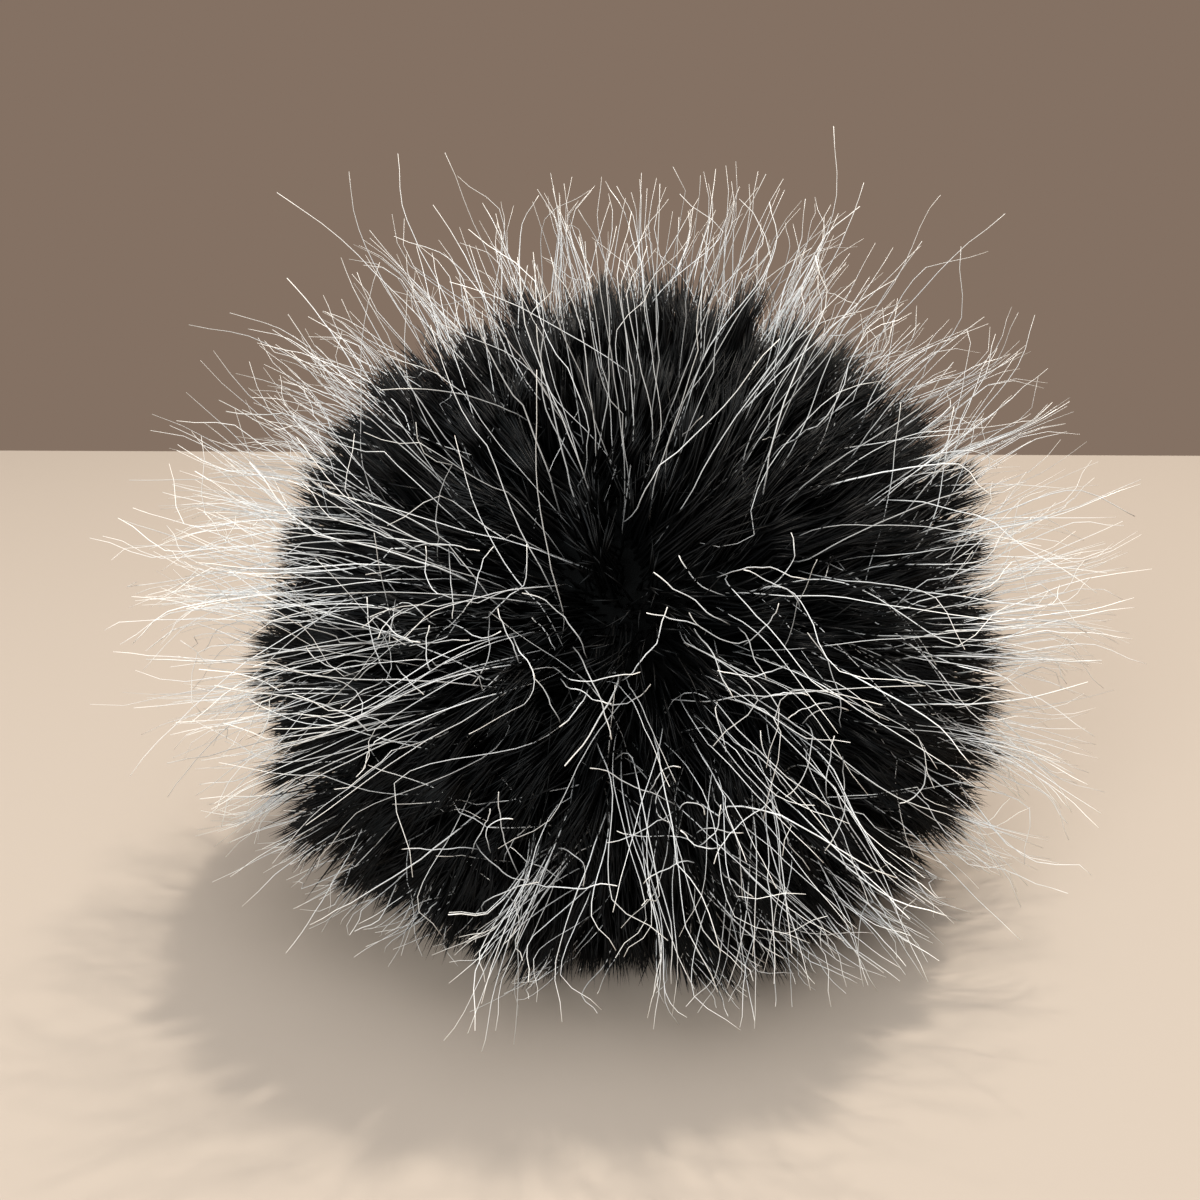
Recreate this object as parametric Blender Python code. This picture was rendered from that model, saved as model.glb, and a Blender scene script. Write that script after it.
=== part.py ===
"""A faux fur pom pom that rests on a flat surface.

A disc of long-haired fake fur is gathered into a ball, so the pom pom is one
closed solid. It reaches as far as the tips of the hair do. The hair stands in
pointed tufts, and parts at a whorl on the front, -Y, side. The underside is
pressed flat where the ball rests. The origin is on the surface, below the
middle of the ball, and +Z is up. All sizes are in metres and all angles in
degrees.
"""

import math

import bmesh
import bpy
import numpy as np
from mathutils import Vector

# The ball, measured from its middle to the usual hair tip.
MIDDLE_HEIGHT = 0.031  # height of the widest level above the surface
SIDE_REACH = 0.0648  # outwards at the widest level
TOP_REACH = 0.0650  # straight up
UNDER_REACH = 0.0410  # straight down, before the surface presses the hair flat
FACETING = 5  # the icosphere's subdivisions: 5120 triangles

# The tufts, which cover the ball evenly.
TUFT_COUNT = 170
TUFT_HALF_ANGLE = 8.5  # from a tuft's point to where it meets its neighbours
TUFT_DEPTHS = (0.0030, 0.0055)  # shallowest and deepest furrow round a tuft
TUFT_LEAN = 4.0  # how far a tuft strays from its even place
TUFT_POINT = 1.3  # 1 is a straight-sided cone, and more is a sharper point
TUFT_SEED = 11

# The whorl, where the hair parts and points straight out.
WHORL_ELEVATION = 27.0
WHORL_HALF_ANGLE = 9.0
WHORL_DEPTH = 0.0065

# The longest tufts, which stand out from the even outline. A bearing of 0 is
# the front, and 90 is the right-hand side, +X.
LONG_TUFT_COLUMNS = ("bearing", "elevation", "extra")
LONG_TUFTS = (
    (100.0, 82.0, 0.0042),  # on the crown
    (-95.0, 66.0, 0.0030),
    (92.0, 58.0, 0.0030),
    (88.0, 44.0, 0.0022),
    (-60.0, 48.0, 0.0015),
    (86.0, 24.0, 0.0026),  # round the right-hand side
    (80.0, 3.0, 0.0030),
    (72.0, -14.0, 0.0024),
    (-86.0, 26.0, 0.0034),  # round the left-hand side
    (-80.0, 8.0, 0.0036),
    (-74.0, -12.0, 0.0026),
    (-58.0, -20.0, 0.0018),
    (180.0, 35.0, 0.0026),  # at the back
    (150.0, 8.0, 0.0022),
    (-145.0, -6.0, 0.0024),
    (25.0, -24.0, 0.0012),  # at the foot of the front
)
LONG_TUFT_HALF_ANGLE = 11.0

FUR_COLOUR = (0.040, 0.043, 0.047, 1.0)  # near-black fur, greyed by its silver tips
FUR_ROUGHNESS = 0.85


def clear_scene():
    """Remove every object that is in the scene."""
    for old in list(bpy.data.objects):
        bpy.data.objects.remove(old, do_unlink=True)


def pointing(bearing, elevation):
    """The unit vector at a bearing from the front and an elevation, in degrees."""
    turn, rise = math.radians(bearing), math.radians(elevation)
    level = math.cos(rise)
    return Vector((level * math.sin(turn), -level * math.cos(turn), math.sin(rise)))


def tuft_points():
    """The unit vectors of the tufts, and the depth of the furrow round each."""
    rng = np.random.default_rng(TUFT_SEED)
    step = np.arange(TUFT_COUNT)
    height = 1.0 - 2.0 * (step + 0.5) / TUFT_COUNT
    turn = step * math.pi * (3.0 - math.sqrt(5.0))  # the golden angle, for an even cover
    level = np.sqrt(1.0 - height**2)
    points = np.stack([level * np.cos(turn), level * np.sin(turn), height], axis=1)
    points += rng.normal(0.0, math.radians(TUFT_LEAN), points.shape)
    points /= np.linalg.norm(points, axis=1)[:, None]
    return points, rng.uniform(*TUFT_DEPTHS, TUFT_COUNT)


def angles_between(directions, axes):
    """The angle in degrees from each direction to each axis, a row for each direction."""
    return np.degrees(np.arccos(np.clip(directions @ axes.T, -1.0, 1.0)))


def plain_reach(directions):
    """The reach of a smooth ball, whose lower half is the shallower one."""
    level = np.hypot(directions[:, 0], directions[:, 1])
    upright = np.where(directions[:, 2] >= 0.0, TOP_REACH, UNDER_REACH)
    return 1.0 / np.hypot(level / SIDE_REACH, directions[:, 2] / upright)


def tuft_relief(directions):
    """How far the tufts' furrows and the longest tufts change the reach."""
    points, depths = tuft_points()
    near = np.clip(1.0 - angles_between(directions, points) / TUFT_HALF_ANGLE, 0.0, 1.0)
    cone = near**TUFT_POINT
    owner = cone.argmax(axis=1)
    relief = depths[owner] * (cone.max(axis=1) - 1.0)

    rows = [dict(zip(LONG_TUFT_COLUMNS, row)) for row in LONG_TUFTS]
    axes = np.array([pointing(row["bearing"], row["elevation"]) for row in rows])
    extra = np.array([row["extra"] for row in rows])
    near = np.clip(1.0 - angles_between(directions, axes) / LONG_TUFT_HALF_ANGLE, 0.0, 1.0)
    return relief + (near * extra).max(axis=1)


def whorl_relief(directions):
    """The hollow of the whorl, as a change of reach."""
    axis = np.array([pointing(0.0, WHORL_ELEVATION)])
    away = angles_between(directions, axis)[:, 0] / WHORL_HALF_ANGLE
    return -WHORL_DEPTH * np.exp(-(away**2))


def fur_reach(directions):
    """How far the hair reaches from the ball's middle, up to the surface that it rests on."""
    reach = plain_reach(directions) + tuft_relief(directions) + whorl_relief(directions)
    downwards = np.maximum(-directions[:, 2], 1e-9)
    return np.minimum(reach, MIDDLE_HEIGHT / downwards)


def centre_over_origin(bm):
    """Slide the ball level until the middle of its outline is over the origin."""
    places = np.array([v.co for v in bm.verts])
    middle = (places.min(axis=0) + places.max(axis=0)) / 2.0
    bmesh.ops.translate(bm, verts=bm.verts, vec=(-middle[0], -middle[1], 0.0))


def flatten_foot(bm):
    """Make the triangles that lie on the surface one flat face."""
    foot = [f for f in bm.faces if all(abs(v.co.z) < 1e-7 for v in f.verts)]
    for vertex in {v for f in foot for v in f.verts}:
        vertex.co.z = 0.0
    bmesh.ops.dissolve_faces(bm, faces=foot, use_verts=True)


def fur_material():
    """Long-pile acrylic fur: it is dull, because its fibres scatter the light."""
    material = bpy.data.materials.new("silver_tipped_fur")
    material.use_nodes = True
    shader = material.node_tree.nodes["Principled BSDF"]
    shader.inputs["Base Color"].default_value = FUR_COLOUR
    shader.inputs["Roughness"].default_value = FUR_ROUGHNESS
    shader.inputs["Metallic"].default_value = 0.0
    return material


def build_fur_ball():
    """The whole pom pom: an icosphere drawn out to where the hair reaches."""
    bm = bmesh.new()
    bmesh.ops.create_icosphere(bm, subdivisions=FACETING, radius=1.0)
    directions = np.array([v.co.normalized() for v in bm.verts])
    middle = Vector((0.0, 0.0, MIDDLE_HEIGHT))
    for vertex, direction, reach in zip(bm.verts, directions, fur_reach(directions)):
        vertex.co = middle + Vector(direction) * float(reach)
    centre_over_origin(bm)
    flatten_foot(bm)
    bmesh.ops.recalc_face_normals(bm, faces=bm.faces)

    mesh = bpy.data.meshes.new("fur_ball")
    bm.to_mesh(mesh)
    bm.free()
    mesh.shade_smooth()
    mesh.materials.append(fur_material())
    ball = bpy.data.objects.new("fur_ball", mesh)
    bpy.context.scene.collection.objects.link(ball)
    return ball


clear_scene()
build_fur_ball()
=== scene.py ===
"""The looks of a faux fur pom pom.

A disc of long-pile fake fur is gathered into a ball. Dense near-black underfur
covers it, and long silver-white guard hair stands well out of the underfur,
parts at a whorl on the front and bends where it meets the surface.
"""

import logging
import math
from dataclasses import dataclass, field
from enum import Enum

import bmesh
import bpy
import numpy as np
from mathutils import Matrix, Vector


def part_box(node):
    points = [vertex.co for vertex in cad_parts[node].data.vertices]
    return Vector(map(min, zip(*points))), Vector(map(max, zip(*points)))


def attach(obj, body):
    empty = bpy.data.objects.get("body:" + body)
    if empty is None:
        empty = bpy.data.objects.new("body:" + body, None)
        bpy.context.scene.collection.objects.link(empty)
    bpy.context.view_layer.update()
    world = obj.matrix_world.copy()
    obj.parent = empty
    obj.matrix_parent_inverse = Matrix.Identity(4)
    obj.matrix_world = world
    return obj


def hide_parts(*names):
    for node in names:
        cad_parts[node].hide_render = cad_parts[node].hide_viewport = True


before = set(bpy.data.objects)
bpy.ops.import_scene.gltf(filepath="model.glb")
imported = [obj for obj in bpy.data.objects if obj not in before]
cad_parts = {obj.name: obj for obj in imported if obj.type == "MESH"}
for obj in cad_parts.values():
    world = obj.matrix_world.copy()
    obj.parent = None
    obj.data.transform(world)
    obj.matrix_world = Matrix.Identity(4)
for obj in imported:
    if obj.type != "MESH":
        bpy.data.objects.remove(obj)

logging.basicConfig(level=logging.INFO, format="%(message)s")
log = logging.getLogger("pom_pom")

BODY = "root"  # the one body of an object without joints
NODE = "fur_ball"
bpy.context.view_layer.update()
FIBRE_MAP = "OFBake"  # the fibres' UV map: across it the tint, up it from root to tip
TINTS = 32  # how many shades of one colour the fibres of a coat have
MOST_TRIANGLES = 190_000  # in one piece
LOOSE_STRAY = 2.2  # how much further a loose fibre strays than one in a tuft
WIDTHS = (0.75, 1.2)  # least and most of a coat's thickness that a fibre has
STOUT_WIDTH = 1.6  # how much thicker a stout fibre is


# ---------------------------------------------------------------- small tools


def unit(rows: np.ndarray) -> np.ndarray:
    """The rows scaled to length one."""
    return rows / np.maximum(np.linalg.norm(rows, axis=-1, keepdims=True), 1e-12)


def smoothstep(low: float, high: float, value: np.ndarray) -> np.ndarray:
    """The smooth step from 0 at low to 1 at high."""
    share = np.clip((value - low) / (high - low), 0.0, 1.0)
    return share * share * (3.0 - 2.0 * share)


def pointing(bearing: float, elevation: float) -> np.ndarray:
    """The unit vector at a bearing from the front, -Y, and an elevation.

    Args:
        bearing: Degrees round from the front, with 90 on the right, +X.
        elevation: Degrees up from level.

    Returns:
        A vector of length one.
    """
    turn, rise = math.radians(bearing), math.radians(elevation)
    level = math.cos(rise)
    return np.array([level * math.sin(turn), -level * math.cos(turn), math.sin(rise)])


def even_directions(count: int) -> np.ndarray:
    """Unit vectors that cover a sphere evenly.

    Args:
        count: How many.

    Returns:
        A row for each, from straight up to straight down.
    """
    step = np.arange(count)
    height = 1.0 - 2.0 * (step + 0.5) / count
    turn = step * math.pi * (3.0 - math.sqrt(5.0))
    level = np.sqrt(1.0 - height**2)
    return np.stack([level * np.cos(turn), level * np.sin(turn), height], axis=1)


def linear(colour: str) -> tuple[float, float, float, float]:
    """An sRGB hex colour as the linear values that a shader takes.

    Args:
        colour: Six hex digits after a hash.

    Returns:
        Red, green, blue and an alpha of 1.
    """
    values = [int(colour[i : i + 2], 16) / 255.0 for i in (1, 3, 5)]
    return (*(v / 12.92 if v <= 0.04045 else ((v + 0.055) / 1.055) ** 2.4 for v in values), 1.0)


def add_node(
    tree: bpy.types.NodeTree,
    kind: str,
    settings: dict[str, object] | None = None,
    inputs: dict[str | int, object] | None = None,
) -> bpy.types.Node:
    """Add a shader node with its settings, and link or set its inputs.

    Args:
        tree: The node tree that it goes into.
        kind: The node's type, such as ShaderNodeMath.
        settings: Values of the node's own properties.
        inputs: For an input's name or number, a socket to link or a plain value.

    Returns:
        The new node.
    """
    node = tree.nodes.new(kind)
    for name, value in (settings or {}).items():
        setattr(node, name, value)
    for name, value in (inputs or {}).items():
        if isinstance(value, bpy.types.NodeSocket):
            tree.links.new(value, node.inputs[name])
        else:
            node.inputs[name].default_value = value
    return node


# ------------------------------------------------------------------- finishes


@dataclass(frozen=True)
class FibreFinish:
    """Acrylic or modacrylic fibre, extruded and crimped, which takes dye all through.

    Its colour runs along the fibre from root to tip. The darker root is painted
    shade deep in the pile; the underfur's lighter blue-grey tip is partly its own
    tone and partly a painted sheen. It has a soft gloss along its shaft and a
    slightly different shade from fibre to fibre.
    """

    name: str
    # root, shaft, tip: colours up the fibre; the root's is painted shade deep in the pile, and the
    # underfur's tip is partly a painted sheen
    root: str
    shaft: str
    tip: str
    shaft_from: float  # share of the length where the root's painted shade has gone
    tip_from: float  # share of the length where the tip's colour starts
    tint_spread: float  # how much darker or lighter a fibre may be
    roughness: float
    specular: float = 0.5

    def material(self) -> bpy.types.Material:
        """The finish as a material that reads the fibre map.

        Returns:
            A new material.
        """
        material = bpy.data.materials.new(self.name)
        material.use_nodes = True
        tree = material.node_tree
        shader = tree.nodes["Principled BSDF"]
        shader.inputs["Roughness"].default_value = self.roughness
        shader.inputs["Specular IOR Level"].default_value = self.specular
        place = add_node(tree, "ShaderNodeUVMap", {"uv_map": FIBRE_MAP})
        across_up = add_node(tree, "ShaderNodeSeparateXYZ", inputs={0: place.outputs["UV"]})
        # Up the fibre: the root's painted shade, the shaft's colour, then the tip's, which on the underfur
        # is partly a painted sheen
        ramp = add_node(tree, "ShaderNodeValToRGB", inputs={0: across_up.outputs["Y"]})
        stops = ramp.color_ramp.elements
        stops[0].position, stops[0].color = 0.0, linear(self.root)
        stops[1].position, stops[1].color = 1.0, linear(self.tip)
        for share in (self.shaft_from, self.tip_from):
            stops.new(share).color = linear(self.shaft)
        bands = add_node(
            tree, "ShaderNodeMath", {"operation": "MULTIPLY"}, {0: across_up.outputs["X"], 1: float(TINTS)}
        )
        band = add_node(tree, "ShaderNodeMath", {"operation": "FLOOR"}, {0: bands.outputs[0]})
        chance = add_node(
            tree, "ShaderNodeTexWhiteNoise", {"noise_dimensions": "1D"}, {"W": band.outputs[0]}
        )
        tint = add_node(
            tree,
            "ShaderNodeMapRange",
            inputs={
                "Value": chance.outputs["Value"],
                "To Min": 1.0 - self.tint_spread,
                "To Max": 1.0 + self.tint_spread,
            },
        )
        shade = add_node(
            tree,
            "ShaderNodeHueSaturation",
            inputs={"Color": ramp.outputs["Color"], "Value": tint.outputs["Result"]},
        )
        tree.links.new(shade.outputs["Color"], shader.inputs["Base Color"])
        return material


@dataclass(frozen=True)
class BackingFinish:
    """Black knitted backing and the felted roots of the underfur, which hide it.

    It is matt and nearly black, with the coarse grain of packed roots.
    """

    name: str = "felted_root_fur"
    dark: str = "#020202"
    light: str = "#07090A"
    lock: float = 0.0016  # metres across a lock of roots
    roughness: float = 0.9

    def material(self) -> bpy.types.Material:
        """The finish as a material on object coordinates.

        Returns:
            A new material.
        """
        material = bpy.data.materials.new(self.name)
        material.use_nodes = True
        tree = material.node_tree
        shader = tree.nodes["Principled BSDF"]
        shader.inputs["Roughness"].default_value = self.roughness
        shader.inputs["Specular IOR Level"].default_value = 0.05
        place = add_node(tree, "ShaderNodeTexCoord")
        locks = add_node(
            tree,
            "ShaderNodeTexNoise",
            inputs={"Vector": place.outputs["Object"], "Scale": 1.0 / self.lock, "Detail": 4.0},
        )
        ramp = add_node(tree, "ShaderNodeValToRGB", inputs={0: locks.outputs["Fac"]})
        ramp.color_ramp.elements[0].color = linear(self.dark)
        ramp.color_ramp.elements[1].color = linear(self.light)
        bump = add_node(
            tree,
            "ShaderNodeBump",
            inputs={"Height": locks.outputs["Fac"], "Distance": 0.0008, "Strength": 0.8},
        )
        tree.links.new(ramp.outputs["Color"], shader.inputs["Base Color"])
        tree.links.new(bump.outputs["Normal"], shader.inputs["Normal"])
        return material


@dataclass(frozen=True)
class BoardFinish:
    """Planed pale wood without a finish: matt, and an even warm tone."""

    name: str = "pale_matt_board"
    colour: str = "#A39A90"
    roughness: float = 0.9
    specular: float = 0.2

    def material(self) -> bpy.types.Material:
        """The finish as a plain material.

        Returns:
            A new material.
        """
        material = bpy.data.materials.new(self.name)
        material.use_nodes = True
        shader = material.node_tree.nodes["Principled BSDF"]
        shader.inputs["Base Color"].default_value = linear(self.colour)
        shader.inputs["Roughness"].default_value = self.roughness
        shader.inputs["Specular IOR Level"].default_value = self.specular
        return material


# ----------------------------------------------------------- the ball's form


@dataclass(frozen=True)
class Ball:
    """The ball that the hair grows on, sized from the CAD solid's box."""

    middle_share: float = 0.32  # height of the widest level, as a share of the whole
    under_power: float = 2.6  # 2 makes the underside elliptical, and more makes it squarer

    @property
    def half_width(self) -> float:
        """From the upright axis to the usual hair tip."""
        low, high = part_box(NODE)
        return float(high[0] - low[0]) / 2.0

    @property
    def middle(self) -> np.ndarray:
        """The point that the hair grows away from.

        Returns:
            Its place, in metres.
        """
        low, high = (np.array(corner, float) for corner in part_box(NODE))
        place = (low + high) / 2.0
        place[2] = low[2] + self.middle_share * (high[2] - low[2])
        return place

    @property
    def floor(self) -> float:
        """The height of the surface that the ball rests on."""
        return float(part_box(NODE)[0][2])

    def tucked(self, directions: np.ndarray, side: float, under: float) -> np.ndarray:
        """The reach of a round form whose underside is shallower than its top.

        Args:
            directions: Unit vectors, a row for each.
            side: The reach level and upwards.
            under: The reach straight down.

        Returns:
            The reach along each direction.
        """
        level = np.hypot(directions[:, 0], directions[:, 1]) / side
        down = np.maximum(-directions[:, 2], 0.0) / under
        low = (level**self.under_power + down**self.under_power) ** (-1.0 / self.under_power)
        return np.where(directions[:, 2] < 0.0, low, side)


@dataclass(frozen=True)
class Whorl:
    """The parting that the hair lies away from, as at the crown of a head."""

    bearing: float = 1.0
    elevation: float = 27.0
    lean: float = 50.0  # degrees from upright, close to the parting
    back_lean: float = 4.0  # degrees, on the far side
    fade_from: float = 35.0  # degrees from the parting where the lean starts to ease
    fade_to: float = 125.0
    eye: float = 5.0  # degrees from the parting's middle to where hair leans in full

    @property
    def axis(self) -> np.ndarray:
        """The direction that the parting faces."""
        return pointing(self.bearing, self.elevation)

    def angle(self, directions: np.ndarray) -> np.ndarray:
        """Degrees from the parting to each direction."""
        return np.degrees(np.arccos(np.clip(directions @ self.axis, -1.0, 1.0)))

    def away(self, directions: np.ndarray) -> np.ndarray:
        """The unit vectors along the surface that lead away from the parting."""
        along = (directions @ self.axis)[:, None]
        return unit(directions * along - self.axis)

    def lean_at(self, directions: np.ndarray) -> np.ndarray:
        """How far hair leans from upright, in radians.

        Args:
            directions: Unit vectors from the ball's middle, a row for each.

        Returns:
            An angle for each row.
        """
        angle = self.angle(directions)
        eased = self.lean + (self.back_lean - self.lean) * smoothstep(self.fade_from, self.fade_to, angle)
        return np.radians(eased * smoothstep(0.0, self.eye, angle))


class Zone(Enum):
    """The part of the ball that a coat covers."""

    ALL = "all round"
    FRONT = "round the parting"
    REST = "all but the front"

    def holds(self, angle: np.ndarray, edge: float) -> np.ndarray:
        """Whether each angle from the parting lies in the zone.

        Args:
            angle: Degrees from the parting.
            edge: Degrees from the parting to where the front ends.

        Returns:
            True or False for each angle.
        """
        if self is Zone.FRONT:
            return angle < edge
        if self is Zone.REST:
            return angle >= edge
        return np.ones(len(angle), bool)


# --------------------------------------------------------------- the strands


@dataclass(frozen=True)
class StrandPattern:
    """One fibre of unit height and radius: a three-sided rod, closed at both ends."""

    rings: int
    pointed: bool
    sides: int = 3

    @property
    def triangles(self) -> int:
        """How many triangles the rod has."""
        walls = 2 * self.sides * self.rings
        return walls - self.sides + 1 if self.pointed else walls + 2

    def build(self) -> bmesh.types.BMesh:
        """The rod as a mesh, cut into rings and drawn to a point if it has one.

        Returns:
            A bmesh, which the caller frees.
        """
        bm = bmesh.new()
        bmesh.ops.create_cone(
            bm, cap_ends=True, segments=self.sides, radius1=1.0, radius2=1.0, depth=1.0
        )
        bmesh.ops.translate(bm, verts=bm.verts, vec=(0.0, 0.0, 0.5))
        upright = [e for e in bm.edges if abs(e.verts[0].co.z - e.verts[1].co.z) > 0.5]
        bmesh.ops.subdivide_edges(bm, edges=upright, cuts=self.rings - 1, use_grid_fill=False)
        if self.pointed:
            top = [v for v in bm.verts if v.co.z > 1.0 - 0.5 / self.rings]
            bmesh.ops.pointmerge(bm, verts=top, merge_co=(0.0, 0.0, 1.0))
        bmesh.ops.recalc_face_normals(bm, faces=bm.faces)
        bm.verts.index_update()
        return bm

    def corner(self, vertex: bmesh.types.BMVert) -> int:
        """Which of the rod's corners a vertex is on."""
        turn = math.atan2(vertex.co.y, vertex.co.x) / (2.0 * math.pi)
        return round(turn * self.sides + 0.25 * self.sides) % self.sides


@dataclass
class Strands:
    """Many fibres of one pattern, each along its own path."""

    pattern: StrandPattern
    paths: np.ndarray  # fibre, ring, xyz
    radii: np.ndarray  # fibre, ring
    tints: np.ndarray  # fibre
    twist: np.ndarray  # fibre, xyz: what the fibre's first corner faces

    def frames(self) -> tuple[np.ndarray, np.ndarray]:
        """Two unit vectors across each fibre at each ring.

        Returns:
            The vectors that the pattern's x and y turn into.
        """
        along = unit(np.gradient(self.paths, axis=1))
        across = unit(np.cross(along, self.twist[:, None, :]))
        return across, np.cross(along, across)

    def mesh(self, name: str) -> bpy.types.Mesh:
        """All the fibres as one mesh with the fibre map on it.

        Args:
            name: The mesh's name.

        Returns:
            A mesh of closed rods.
        """
        bm = self.pattern.build()
        spots = np.array([v.co for v in bm.verts])
        ring = np.rint(spots[:, 2] * self.pattern.rings).astype(int)
        loops = np.array([loop.vert.index for f in bm.faces for loop in f.loops])
        sizes = np.array([len(f.loops) for f in bm.faces])
        chart = np.array(self._chart(bm))
        bm.free()

        count = len(self.paths)
        across, over = self.frames()
        radius = self.radii[:, ring, None]
        places = (
            self.paths[:, ring]
            + across[:, ring] * spots[None, :, 0:1] * radius
            + over[:, ring] * spots[None, :, 1:2] * radius
        )
        mesh = bpy.data.meshes.new(name)
        mesh.vertices.add(count * len(spots))
        mesh.vertices.foreach_set("co", places.astype(np.float32).ravel())
        shift = np.arange(count)[:, None] * len(spots)
        mesh.loops.add(count * len(loops))
        mesh.loops.foreach_set("vertex_index", (loops[None] + shift).astype(np.int32).ravel())
        mesh.polygons.add(count * len(sizes))
        starts = np.concatenate([[0], np.cumsum(np.tile(sizes, count))[:-1]])
        mesh.polygons.foreach_set("loop_start", starts.astype(np.int32))
        mesh.polygons.foreach_set("use_smooth", np.ones(count * len(sizes), bool))
        mesh.update(calc_edges=True)
        uv = mesh.uv_layers.new(name=FIBRE_MAP)
        band = (self.tints[:, None] + 0.1 + 0.8 * chart[None, :, 0]) / TINTS
        up = np.broadcast_to(chart[None, :, 1], band.shape)
        uv.uv.foreach_set("vector", np.stack([band, up], axis=-1).astype(np.float32).ravel())
        mesh.validate()
        return mesh

    def _chart(self, bm: bmesh.types.BMesh) -> list[tuple[float, float]]:
        """The place of each face corner in the fibre's own band of the map.

        Args:
            bm: The pattern's mesh.

        Returns:
            Across the band and up it, from 0 to 1, for each corner of each face.
        """
        sides = self.pattern.sides
        chart = []
        for face in bm.faces:
            heights = [loop.vert.co.z for loop in face.loops]
            middle = sum(heights) / len(heights)
            flat = max(heights) - min(heights) < 1e-4
            rim = [loop.vert for loop in face.loops if loop.vert.co.xy.length > 0.5]
            corners = {self.pattern.corner(vertex) for vertex in rim}
            last = not flat and 0 in corners and sides - 1 in corners
            for step, loop in enumerate(face.loops):
                height = loop.vert.co.z
                if flat:
                    across = 0.2 + 0.3 * step
                    height = middle + (0.01 if step == 1 else 0.0) * (1.0 - 2.0 * middle)
                elif loop.vert.co.xy.length < 0.5:
                    across = (sides - 0.5 if last else min(corners) + 0.5) / sides
                else:
                    corner = self.pattern.corner(loop.vert)
                    across = (sides if last and corner == 0 else corner) / sides
                chart.append((across, 0.01 + 0.98 * height))
        return chart


@dataclass(frozen=True)
class Tufting:
    """How fibres gather into pointed tufts."""

    count: int
    pull: tuple[float, float]  # least and most that a tuft draws its fibres together
    length_spread: float  # how much longer or shorter a tuft is than the usual
    stray: float  # degrees that a tuft points away from the even flow
    loose: float  # share of the fibres that go their own way
    waist: float = 0.8  # share of the length where a tuft is narrowest
    flare: float = 0.3  # how much it opens again beyond that
    sparse: float = 1.0  # share of its fibres that the thinnest tuft keeps


@dataclass(frozen=True)
class Crimp:
    """How a fibre wavers along its length."""

    waver: float  # usual change of direction at each ring
    kink: float  # the change at a sharp kink
    chance: float  # of a kink at each ring
    curl: float = 0.0  # steady turning at each ring, which bends a fibre into an arc
    stiffness: float = 0.55  # how much a fibre keeps its direction


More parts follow.
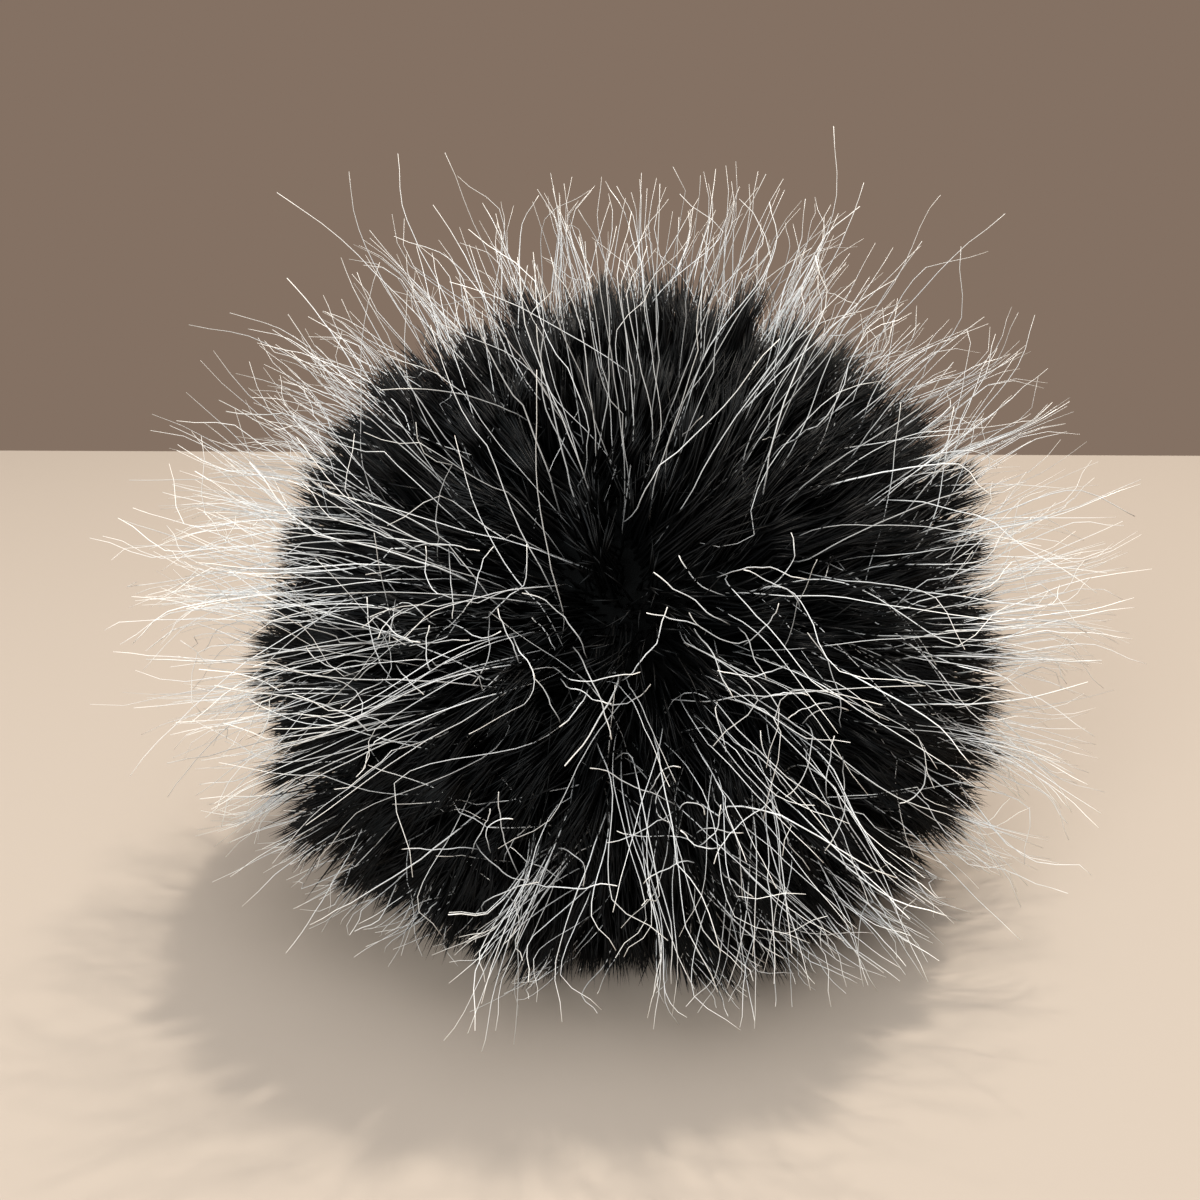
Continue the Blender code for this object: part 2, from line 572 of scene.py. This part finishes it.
@dataclass
class FibreCoat:
    """One coat of fibres on the ball, grown along the lie of the fur."""

    name: str
    finish: FibreFinish
    count: int
    rings: int
    pointed: bool
    root: float  # reach of the roots, as a share of the ball's half width
    tip: float  # reach of the tips
    under_tip: float  # reach of the tips straight down
    thickness: float  # metres across a fibre at its root
    taper: float  # the tip's thickness as a share of the root's
    spread: float  # how much a fibre's length differs from its neighbours'
    stray: float  # degrees that a fibre points away from its neighbours
    lean_share: float  # of the whorl's lean that the coat takes
    tufting: Tufting
    crimp: Crimp
    seed: int
    stout: float = 0.0  # share of the fibres that are much thicker
    lean_at_root: float = 0.45  # share of that lean that a fibre starts with
    lean_gain: float = 0.75  # what it gains by its tip
    zone: Zone = Zone.ALL
    zone_edge: float = 62.0  # degrees from the parting to where the front ends
    bare: float = 0.0  # degrees from the parting's middle that no fibre grows in
    press_from: float = 0.010  # height below which the surface bends a fibre
    rest_height: tuple[float, float] = (0.0004, 0.0025)  # of fibres that lie on the surface
    thin_under: float = 0.0  # share of the fibres that is missing underneath
    thin_over: float = 0.0  # and on top
    short_under: float = 0.0  # how much shorter fibres are that point down at the surface
    slide: float = 0.7  # how far a bent fibre slides out, for each metre it is lifted
    ball: Ball = field(default_factory=Ball)
    whorl: Whorl = field(default_factory=Whorl)

    def march(
        self,
        directions: np.ndarray,
        lengths: np.ndarray,
        stray: np.ndarray,
        rng: np.random.Generator,
        calm: float,
    ) -> np.ndarray:
        """Grow paths outwards, a ring at a time, along the lie of the fur.

        Args:
            directions: The unit vectors of the roots.
            lengths: The fibres' lengths, in metres.
            stray: A vector for each fibre that its lie is turned by.
            rng: The source of the crimp.
            calm: 1 for the full crimp, less for a smoother path.

        Returns:
            The paths: fibre, ring, xyz.
        """
        reach = self.root * self.ball.half_width
        under = min(reach, self.ball.middle[2] - self.ball.floor - 0.002)
        place = self.ball.middle + directions * self.ball.tucked(directions, reach, under)[:, None]
        path, heading = [place], None
        curl = rng.normal(0.0, self.crimp.curl * calm, place.shape)
        step = (lengths / self.rings)[:, None]
        for ring in range(self.rings):
            share = (ring + 0.5) / self.rings
            outwards = unit(place - self.ball.middle)
            lean = self.lean_share * self.whorl.lean_at(outwards)[:, None]
            lean = lean * (self.lean_at_root + self.lean_gain * share)
            lie = outwards * np.cos(lean) + self.whorl.away(outwards) * np.sin(lean) + stray
            waver = curl + rng.normal(0.0, self.crimp.waver * calm, place.shape)
            kinked = rng.random((len(place), 1)) < self.crimp.chance
            waver += kinked * rng.normal(0.0, self.crimp.kink * calm, place.shape)
            keep = 0.0 if heading is None else self.crimp.stiffness
            heading = unit(lie) if heading is None else heading
            heading = unit(keep * heading + (1.0 - keep) * unit(lie) + waver)
            place = place + heading * step
            path.append(place)
        return np.stack(path, axis=1)

    def lengths(self, directions: np.ndarray) -> np.ndarray:
        """The usual length of a fibre that grows along each direction.

        Args:
            directions: Unit vectors, a row for each.

        Returns:
            A length in metres for each row.
        """
        half = self.ball.half_width
        reach = self.root * half
        under = min(reach, self.ball.middle[2] - self.ball.floor - 0.002)
        tips = self.ball.tucked(directions, self.tip * half, self.under_tip * half)
        gain = np.maximum(tips - self.ball.tucked(directions, reach, under), 0.003)
        gain = gain * (1.0 - self.short_under * smoothstep(-0.25, 0.45, -directions[:, 2]))
        return gain / np.cos(self.lean_share * self.whorl.lean_at(directions) * 0.85)

    def grow(self) -> Strands:
        """Every fibre of the coat, gathered into tufts and pressed onto the surface.

        Returns:
            The coat's strands.
        """
        rng = np.random.default_rng(self.seed)
        tufts = self.tufting.count
        tuft_pitch = math.sqrt(4.0 * math.pi / tufts)
        tuft_axes = unit(even_directions(tufts) + rng.normal(0.0, 0.35 * tuft_pitch, (tufts, 3)))
        tuft_length = 1.0 + self.tufting.length_spread * rng.normal(0.0, 1.0, tufts).clip(-2.0, 1.8)
        tuft_stray = rng.normal(0.0, math.radians(self.tufting.stray), (tufts, 3))
        tuft_pull = rng.uniform(*self.tufting.pull, tufts)

        pitch = math.sqrt(4.0 * math.pi / self.count)
        roots = unit(even_directions(self.count) + rng.normal(0.0, 0.6 * pitch, (self.count, 3)))
        angle = self.whorl.angle(roots)
        roots = roots[self.zone.holds(angle, self.zone_edge) & (angle > self.bare)]
        owner = nearest(roots, tuft_axes)
        kept = rng.uniform(self.tufting.sparse, 1.0, tufts)[owner]
        kept = kept * (1.0 - self.thin_under * smoothstep(0.2, 0.6, -roots[:, 2]))
        kept = kept * (1.0 - self.thin_over * smoothstep(0.5, 0.8, roots[:, 2]))
        chosen = rng.random(len(roots)) < kept
        roots, owner = roots[chosen], owner[chosen]
        count = len(roots)
        loose = rng.random(count) < self.tufting.loose

        own_stray = rng.normal(0.0, math.radians(self.stray), (count, 3))
        own_stray = own_stray * np.where(loose, LOOSE_STRAY, 1.0)[:, None]
        length = self.lengths(roots) * tuft_length[owner]
        length = length * (1.0 + self.spread * rng.normal(0.0, 1.0, count).clip(-2.5, 1.0))
        paths = self.march(roots, length, tuft_stray[owner] + own_stray, rng, 1.0)
        guides = self.march(tuft_axes, self.lengths(tuft_axes) * tuft_length, tuft_stray, rng, 0.3)

        share = np.linspace(0.0, 1.0, self.rings + 1)
        gather = smoothstep(0.05, self.tufting.waist, share)
        gather = gather - self.tufting.flare * smoothstep(self.tufting.waist, 1.0, share)
        pull = np.where(loose, 0.0, tuft_pull[owner])[:, None] * gather[None]
        paths = paths + pull[:, :, None] * (guides[owner] - paths)
        paths = self.press(paths, rng)

        thin = 1.0 + (self.taper - 1.0) * share**1.6
        width = self.thickness * rng.uniform(*WIDTHS, count)
        width = np.where(rng.random(count) < self.stout, width * STOUT_WIDTH, width)
        radii = 0.5 * width[:, None] * thin[None]
        return Strands(
            StrandPattern(self.rings, self.pointed),
            paths,
            radii,
            rng.integers(0, TINTS, count),
            unit(rng.normal(0.0, 1.0, (count, 3))),
        )

    def press(self, paths: np.ndarray, rng: np.random.Generator) -> np.ndarray:
        """Bend the fibres that would pass through the surface so that they lie along it.

        Args:
            paths: The paths: fibre, ring, xyz.
            rng: The source of each fibre's height above the surface.

        Returns:
            Paths that stay above the surface.
        """
        floor = self.ball.floor
        rest = floor + rng.uniform(*self.rest_height, len(paths))[:, None]
        bend = floor + self.press_from
        height = paths[:, :, 2]
        lower = height < bend
        pressed = rest + (bend - rest) * np.exp(np.minimum(height - bend, 0.0) / (bend - rest))
        lifted = np.where(lower, pressed - height, 0.0)
        out = paths[:, :, :2] - self.ball.middle[:2]
        out = out / np.maximum(np.linalg.norm(out, axis=2, keepdims=True), 1e-6)
        moved = paths.copy()
        moved[:, :, 2] = np.where(lower, pressed, height)
        moved[:, :, :2] += out * (self.slide * lifted)[:, :, None]
        return moved

    def build(self) -> list[bpy.types.Object]:
        """Grow the coat and make its pieces, each small enough to export whole.

        Returns:
            The pieces, in order round the ball.
        """
        strands = self.grow()
        turn = np.arctan2(strands.paths[:, 0, 1], strands.paths[:, 0, 0])
        order = np.argsort(turn, kind="stable")
        each = strands.pattern.triangles
        pieces = math.ceil(len(order) * each / MOST_TRIANGLES)
        material = self.finish.material()
        made = []
        for number, part in enumerate(np.array_split(order, pieces), start=1):
            name = self.name if pieces == 1 else f"{self.name}_{number}"
            some = Strands(
                strands.pattern,
                strands.paths[part],
                strands.radii[part],
                strands.tints[part],
                strands.twist[part],
            )
            mesh = some.mesh(name)
            mesh.materials.append(material)
            made.append(settle(name, mesh))
        log.info("%s: %d fibres in %d pieces", self.name, len(order), pieces)
        return made


def nearest(points: np.ndarray, centres: np.ndarray) -> np.ndarray:
    """The number of the centre that each unit vector is nearest to.

    Args:
        points: Unit vectors, a row for each.
        centres: Unit vectors, a row for each.

    Returns:
        A row number of centres for each point.
    """
    found = [(part @ centres.T).argmax(axis=1) for part in np.array_split(points, 16)]
    return np.concatenate(found)


def settle(name: str, mesh: bpy.types.Mesh) -> bpy.types.Object:
    """Make a piece of a mesh that is in its place, riding on the body.

    Args:
        name: The piece's name.
        mesh: Its mesh, in the row frame.

    Returns:
        The piece.
    """
    piece = bpy.data.objects.new(name, mesh)
    bpy.context.scene.collection.objects.link(piece)
    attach(piece, BODY)
    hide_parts(NODE)
    return piece


# ------------------------------------------------------------ sub-assemblies


@dataclass
class Backing:
    """The gathered ball of backing cloth and felted roots inside the fur."""

    ball: Ball = field(default_factory=Ball)
    finish: BackingFinish = field(default_factory=BackingFinish)
    reach: float = 0.60  # as a share of the ball's half width
    clearance: float = 0.003  # above the surface
    unevenness: float = 0.0008  # metres in and out
    subdivisions: int = 5

    def build(self) -> bpy.types.Object:
        """An icosphere drawn in underneath and made uneven.

        Returns:
            The piece.
        """
        rng = np.random.default_rng(5)
        bm = bmesh.new()
        bmesh.ops.create_icosphere(bm, subdivisions=self.subdivisions, radius=1.0)
        directions = np.array([v.co.normalized() for v in bm.verts])
        under = self.ball.middle[2] - self.ball.floor - self.clearance
        reach = self.ball.tucked(directions, self.reach * self.ball.half_width, under)
        reach = reach + rng.uniform(-self.unevenness, 0.0, len(reach))
        for vertex, place in zip(bm.verts, self.ball.middle + directions * reach[:, None]):
            vertex.co = place
        bmesh.ops.recalc_face_normals(bm, faces=bm.faces)
        mesh = bpy.data.meshes.new("backing")
        bm.to_mesh(mesh)
        bm.free()
        mesh.shade_smooth()
        mesh.materials.append(self.finish.material())
        piece = settle("backing", mesh)
        log.info("backing: the gathered ball under the fur")
        return piece


@dataclass
class Snarls:
    """Small knots of guard hair that has tangled and broken off short."""

    # its dark root, painted shade for hair deep in the pile, also darkens the first third of each knotted
    # hair
    finish: FibreFinish
    spots: tuple[tuple[float, float], ...] = (  # bearing and elevation of each knot, in degrees
        (-8.0, 18.0),
        (-22.0, 24.0),
        (-30.0, 19.0),
        (-12.0, -7.0),
        (6.0, 0.0),
        (20.0, 8.0),
        (13.0, 24.0),
    )
    hairs: int = 11  # in a knot
    length: float = 0.0085
    width: float = 0.0040  # of a knot
    scatter: float = 0.8  # how far from the middle hairs start, as a share of the width
    length_range: tuple[float, float] = (0.5, 1.3)  # of a hair, as shares of the length
    hold: float = 0.05  # how strongly a hair is drawn back at each ring
    wander: float = 0.18  # how much it turns at random
    flatness: float = 0.5  # how much of its way in or out is taken away
    reach: float = 0.80  # as a share of the ball's half width
    rings: int = 12
    thickness: float = 0.00012
    seed: int = 41
    ball: Ball = field(default_factory=Ball)

    def build(self) -> bpy.types.Object:
        """Every knot's hairs, each wandering about the knot's middle.

        Returns:
            The piece.
        """
        rng = np.random.default_rng(self.seed)
        outwards = np.repeat(np.array([pointing(*spot) for spot in self.spots]), self.hairs, axis=0)
        middle = self.ball.middle + outwards * self.reach * self.ball.half_width
        place = middle + rng.normal(0.0, self.scatter * self.width, middle.shape)
        heading = unit(rng.normal(0.0, 1.0, middle.shape))
        step = self.length / self.rings * rng.uniform(*self.length_range, (len(middle), 1))
        path = [place]
        for _ in range(self.rings):
            back = (middle - place) / self.width
            heading = unit(heading + self.hold * back + rng.normal(0.0, self.wander, middle.shape))
            flat = np.sum(heading * outwards, axis=1, keepdims=True)
            heading = unit(heading - self.flatness * flat * outwards)
            place = place + heading * step
            path.append(place)
        paths = np.stack(path, axis=1)
        radii = np.full(paths.shape[:2], 0.5 * self.thickness)
        strands = Strands(
            StrandPattern(self.rings, False),
            paths,
            radii,
            rng.integers(0, TINTS, len(paths)),
            unit(rng.normal(0.0, 1.0, (len(paths), 3))),
        )
        mesh = strands.mesh("snarls")
        mesh.materials.append(self.finish.material())
        log.info("snarls: %d hairs in %d knots", len(paths), len(self.spots))
        return settle("snarls", mesh)


BLACK_UNDERFUR = FibreFinish(
    name="black_modacrylic_underfur",
    # near-black root as painted shade deep in the pile; the blue-grey tip is partly the fibre's tone and
    # partly a painted sheen
    root="#010101",
    shaft="#030405",
    tip="#0E1316",
    shaft_from=0.35,
    tip_from=0.75,
    tint_spread=0.5,
    roughness=0.5,
    specular=0.14,
)
SILVER_GUARD_HAIR = FibreFinish(
    name="silver_modacrylic_guard_hair",
    # the dark grey root is painted shade where the hair runs down into the black underfur
    root="#33373A",
    shaft="#C6CBCE",
    tip="#E6E5E0",
    shaft_from=0.34,
    tip_from=0.70,
    tint_spread=0.34,
    roughness=0.34,
    specular=0.5,
)

UNDERFUR = FibreCoat(
    name="underfur",
    finish=BLACK_UNDERFUR,
    count=36_000,
    rings=3,
    pointed=True,
    root=0.57,
    tip=0.775,
    under_tip=0.56,
    thickness=0.00034,  # a lock of fibres of 0.02 mm, drawn as coarse as it needs to show
    taper=0.5,
    spread=0.09,
    stray=6.0,
    lean_share=0.62,
    tufting=Tufting(count=900, pull=(0.35, 0.92), length_spread=0.13, stray=10.0, loose=0.10),
    crimp=Crimp(waver=0.06, kink=0.25, chance=0.1),
    seed=21,
    press_from=0.006,
    rest_height=(0.0003, 0.0012),
    slide=0.3,
)
GUARD_HAIR_FRONT = FibreCoat(
    name="guard_hair_front",
    finish=SILVER_GUARD_HAIR,
    count=5_900,
    rings=16,
    pointed=False,
    root=0.60,
    tip=0.97,
    under_tip=0.66,
    thickness=0.000125,  # real guard hair is 0.06 mm, drawn as coarse as it needs to show
    taper=0.6,
    spread=0.16,
    stray=12.0,
    lean_share=1.0,
    tufting=Tufting(
        count=300, pull=(0.2, 0.85), length_spread=0.08, stray=13.5, loose=0.3, sparse=0.12
    ),
    crimp=Crimp(waver=0.05, kink=0.5, chance=0.07, curl=0.085, stiffness=0.62),
    seed=35,
    stout=0.05,
    zone=Zone.FRONT,
    bare=7.0,
    thin_over=0.35,
    short_under=0.36,
    slide=0.15,
)
GUARD_HAIR = FibreCoat(
    name="guard_hair",
    finish=SILVER_GUARD_HAIR,
    count=6_300,
    rings=8,
    pointed=False,
    root=0.60,
    tip=0.97,
    under_tip=0.66,
    thickness=0.00012,
    taper=0.5,
    spread=0.11,
    stray=8.0,
    lean_share=1.0,
    tufting=Tufting(
        count=420, pull=(0.35, 0.95), length_spread=0.08, stray=10.0, loose=0.15, sparse=0.35
    ),
    crimp=Crimp(waver=0.03, kink=0.2, chance=0.08, curl=0.03),
    seed=32,
    zone=Zone.REST,
    thin_under=0.55,
    short_under=0.27,
    slide=0.15,
)


@dataclass(frozen=True)
class Lamp:
    """A square soft light that faces the ball."""

    name: str
    bearing: float  # degrees round from the front
    elevation: float  # degrees up
    away: float  # metres from the ball's middle
    size: float  # metres across
    watts: float
    colour: str

    def build(self, target: np.ndarray) -> None:
        """Place the light and turn it to the target.

        Args:
            target: The point that it faces.
        """
        data = bpy.data.lights.new(self.name, "AREA")
        data.shape = "SQUARE"
        data.size = self.size
        data.energy = self.watts
        data.color = linear(self.colour)[:3]
        lamp = bpy.data.objects.new(self.name, data)
        towards = pointing(self.bearing, self.elevation)
        lamp.location = Vector(target + towards * self.away)
        lamp.rotation_euler = Vector(-towards).to_track_quat("-Z", "Y").to_euler()
        bpy.context.scene.collection.objects.link(lamp)


@dataclass
class Studio:
    """The pale floor, the soft lights and the camera."""

    ball: Ball = field(default_factory=Ball)
    distance: float = 0.177  # from the ball's middle to the camera
    elevation: float = 20.0  # degrees
    lens: float = 39.0  # mm on a 36 mm sensor
    middle_right: float = 0.024  # how far right of the view's middle the ball's middle stands
    middle_down: float = 0.042  # and how far down, as shares of the view's width
    board_half_width: float = 0.9
    board_front: float = 0.9
    board_back: float = 0.29
    board_finish: BoardFinish = field(default_factory=BoardFinish)
    backdrop: str = "#8E7A6B"
    backdrop_strength: float = 0.85
    lamps: tuple[Lamp, ...] = (
        Lamp("key", 140.0, 68.0, 1.2, 0.05, 13.0, "#FFF4E6"),
        Lamp("fill", -24.0, 26.0, 1.0, 0.5, 12.0, "#FAF9F6"),
        Lamp("top", 20.0, 75.0, 1.2, 0.9, 11.0, "#FFFFFF"),
    )

    def floor(self) -> bpy.types.Object:
        """A wide plain board that ends behind the object.

        Returns:
            The floor.
        """
        half_deep = 0.5 * (self.board_back + self.board_front)
        backwards = 0.5 * (self.board_back - self.board_front)
        bm = bmesh.new()
        bmesh.ops.create_grid(bm, x_segments=1, y_segments=1, size=1.0)
        bmesh.ops.scale(bm, verts=bm.verts, vec=(self.board_half_width, half_deep, 1.0))
        bmesh.ops.translate(bm, verts=bm.verts, vec=(0.0, backwards, 0.0))
        mesh = bpy.data.meshes.new("floor")
        bm.to_mesh(mesh)
        bm.free()
        mesh.materials.append(self.board_finish.material())
        floor = bpy.data.objects.new("floor", mesh)
        bpy.context.scene.collection.objects.link(floor)
        return floor

    def camera(self) -> None:
        """The camera, in front of the whorl and a little above."""
        data = bpy.data.cameras.new("camera")
        data.lens = self.lens
        data.sensor_width = 36.0
        data.clip_start = 0.01
        camera = bpy.data.objects.new("camera", data)
        towards = pointing(0.0, self.elevation)
        place = self.ball.middle + towards * self.distance
        wide = data.sensor_width / data.lens
        turn = math.atan(self.middle_right * wide)
        rise = math.atan(self.middle_down * wide)
        tilt = math.radians(90.0 - self.elevation) + rise
        camera.matrix_world = (
            Matrix.Translation(Vector(place)) @ Matrix.Rotation(turn, 4, "Z") @ Matrix.Rotation(tilt, 4, "X")
        )
        bpy.context.scene.collection.objects.link(camera)
        bpy.context.scene.camera = camera

    def world(self) -> None:
        """A dim even light from all round."""
        world = bpy.data.worlds.new("studio")
        world.use_nodes = True
        shade = world.node_tree.nodes["Background"]
        shade.inputs["Color"].default_value = linear(self.backdrop)
        shade.inputs["Strength"].default_value = self.backdrop_strength
        bpy.context.scene.world = world

    def build(self) -> None:
        """Set the studio up."""
        self.camera()
        self.floor()
        self.world()
        for lamp in self.lamps:
            lamp.build(self.ball.middle)
        bpy.context.scene.view_settings.view_transform = "Standard"


def main() -> None:
    """Build the pom pom and its studio in order."""
    Studio().build()
    Backing().build()
    for coat in (UNDERFUR, GUARD_HAIR_FRONT, GUARD_HAIR):
        coat.build()
    Snarls(SILVER_GUARD_HAIR).build()


if __name__ == "__main__":
    main()
